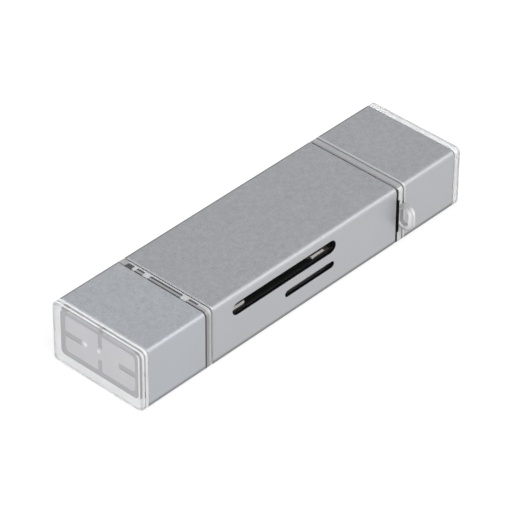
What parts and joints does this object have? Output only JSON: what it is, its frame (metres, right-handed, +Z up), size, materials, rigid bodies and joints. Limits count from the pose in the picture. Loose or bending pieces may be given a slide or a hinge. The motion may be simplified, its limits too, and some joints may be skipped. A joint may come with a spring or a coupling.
{
  "type": "usb memory card reader",
  "caption": "Bar-shaped card reader in an aluminium sleeve, with card slots in one side and a plug at each end under a pull-off cap with a clear end.",
  "frame": {"origin": "centre of the body's underside, with both caps on", "axes": "+X along the body to the cap with the lanyard loop, -Y out of the card slots, +Z up"},
  "size_m": [0.0782, 0.0233, 0.012],
  "materials": {
    "sleeve": "bead-blasted, clear anodised",
    "clear": "clear moulded",
    "black": "moulded",
    "board": "black solder mask",
    "insulator": "moulded",
    "stamped_steel": "plated sheet",
    "plated": "bright nickel plate",
    "gilt": "gold plate",
    "chip": "moulded",
    "capacitor": "fired, tinned ends",
    "resistor": "glazed, tinned ends"
  },
  "bodies": {
    "reader": {"body_sleeve": "sleeve", "frame_lower": "black", "frame_upper": "black", "main_board": "board", "large_card_shell": "stamped_steel", "large_card_housing": "insulator", "large_card_contacts": "gilt", "small_card_shell": "stamped_steel", "small_card_housing": "insulator", "small_card_contacts": "gilt", "controller_chip": "chip", "crystal": "stamped_steel", "capacitors": "capacitor", "resistors": "resistor", "plug_a_shell": "plated", "plug_a_tongue": "insulator", "plug_a_contacts": "gilt", "plug_c_shell": "plated", "plug_c_insulator": "insulator", "plug_c_contacts": "gilt", "plug_c_latch": "stamped_steel"},
    "cap_a": {"cap_a_sleeve": "sleeve", "cap_a_liner": "clear", "cap_a_rim": "clear"},
    "cap_c": {"cap_c_sleeve": "sleeve", "cap_c_liner": "clear", "cap_c_rim": "clear"}
  },
  "joints": [
    {"name": "cap_a_pull", "type": "slide", "parent": "reader", "child": "cap_a", "axis": [1, 0, 0], "range_m": [0, 0.018]},
    {"name": "cap_c_pull", "type": "slide", "parent": "reader", "child": "cap_c", "axis": [-1, 0, 0], "range_m": [0, 0.012]}
  ]
}
